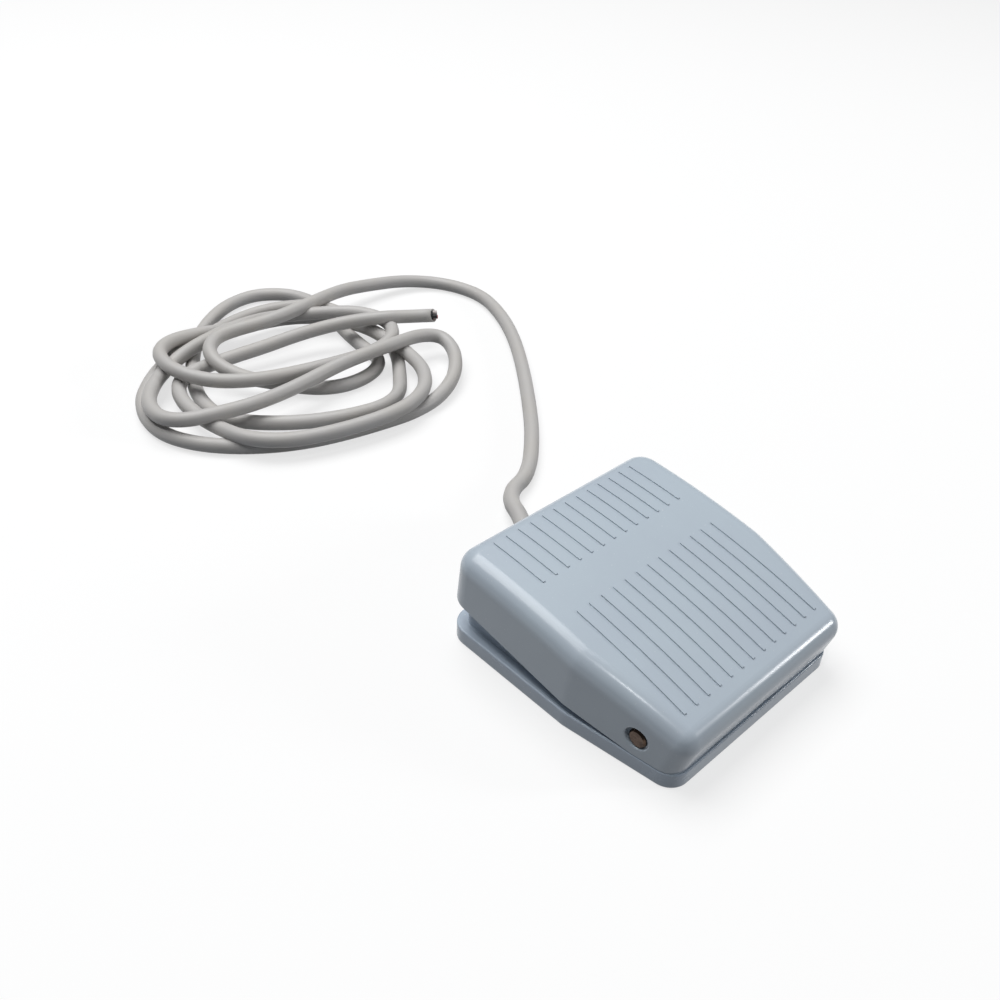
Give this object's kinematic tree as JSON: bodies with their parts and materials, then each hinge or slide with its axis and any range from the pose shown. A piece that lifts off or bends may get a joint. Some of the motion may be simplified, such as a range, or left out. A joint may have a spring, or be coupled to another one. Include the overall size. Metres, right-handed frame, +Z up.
{
  "type": "foot switch",
  "caption": "Low wedge-shaped foot switch: a ribbed hinged pedal over a tray base with a snap switch inside and a long loose round cord with a bare cut end.",
  "frame": {"origin": "on the floor under the middle of the switch's own bounding box, without the free cord", "axes": "+Z up, +Y from the hinge end towards the end that goes down, where the cord leaves, +X across"},
  "size_m": [0.1711, 0.3055, 0.032],
  "materials": {
    "base_plastic": "moulded plastic, satin to glossy, light blue grey",
    "pedal_plastic": "moulded plastic, satin to glossy, light blue grey",
    "foot_rubber": "moulded rubber",
    "grommet_rubber": "moulded soft plastic, grey",
    "pin_steel": "turned steel, ends polished",
    "spring_steel": "drawn spring steel",
    "screw_steel": "zinc plated steel",
    "lever_steel": "stamped stainless steel",
    "contact_brass": "stamped brass",
    "switch_plastic": "moulded thermoset, matt",
    "switch_cover_plastic": "moulded thermoset, matt",
    "button_plastic": "moulded plastic, matt",
    "clamp_plastic": "moulded plastic, matt",
    "cord_sheath": "extruded soft plastic, warm grey, satin",
    "core_red_sleeve": "extruded soft plastic",
    "core_black_sleeve": "extruded soft plastic",
    "core_white_sleeve": "extruded soft plastic"
  },
  "bodies": {
    "base": {"base": "base_plastic", "rubber_feet": "foot_rubber", "stop_bumpers": "foot_rubber", "pivot_pin": "pin_steel", "pin_clips": "spring_steel", "return_spring": "spring_steel", "switch_case": "switch_plastic", "switch_cover": "switch_cover_plastic", "switch_screws": "screw_steel", "lever_pin": "lever_steel", "terminal_common": "contact_brass", "terminal_open": "contact_brass", "terminal_rest": "contact_brass", "cord_grommet": "grommet_rubber", "cord_clamp": "clamp_plastic", "clamp_screws": "screw_steel", "cord_entry": "cord_sheath", "lead_common": "core_black_sleeve", "lead_open": "core_red_sleeve", "lead_rest": "core_white_sleeve", "cord_lead": "cord_sheath", "cord_coil": "cord_sheath", "cord_tail": "cord_sheath", "core_red": "core_red_sleeve", "core_black": "core_black_sleeve", "core_white": "core_white_sleeve"},
    "pedal": {"pedal": "pedal_plastic"},
    "lever": {"switch_lever": "lever_steel"},
    "button": {"switch_button": "button_plastic"},
    "blade": {"contact_blade": "contact_brass"}
  },
  "joints": [
    {"name": "pedal_hinge", "type": "hinge", "parent": "base", "child": "pedal", "pos_m": [0, -0.02795, 0.0111], "axis": [-1, 0, 0], "range_deg": [0, 7], "stiffness_Nm_per_rad": 1.2, "springref_deg": -8.59, "deforming": ["return_spring"]},
    {"name": "lever_hinge", "type": "hinge", "parent": "base", "child": "lever", "pos_m": [0, -0.0001, 0.0182], "axis": [1, 0, 0], "range_deg": [0, 8.48]},
    {"name": "button_slide", "type": "slide", "parent": "base", "child": "button", "axis": [0, 0, -1], "range_m": [0, 0.000952]},
    {"name": "blade_hinge", "type": "hinge", "parent": "base", "child": "blade", "pos_m": [0, -0.0015, 0.0125], "axis": [1, 0, 0], "range_deg": [0, 10.89]}
  ],
  "couplings": [
    {"joint": "lever_hinge", "follows": "pedal_hinge", "ratio": 1.2107},
    {"joint": "button_slide", "follows": "pedal_hinge", "m_per_rad": 0.0077806},
    {"joint": "blade_hinge", "follows": "pedal_hinge", "ratio": 1.5561}
  ]
}
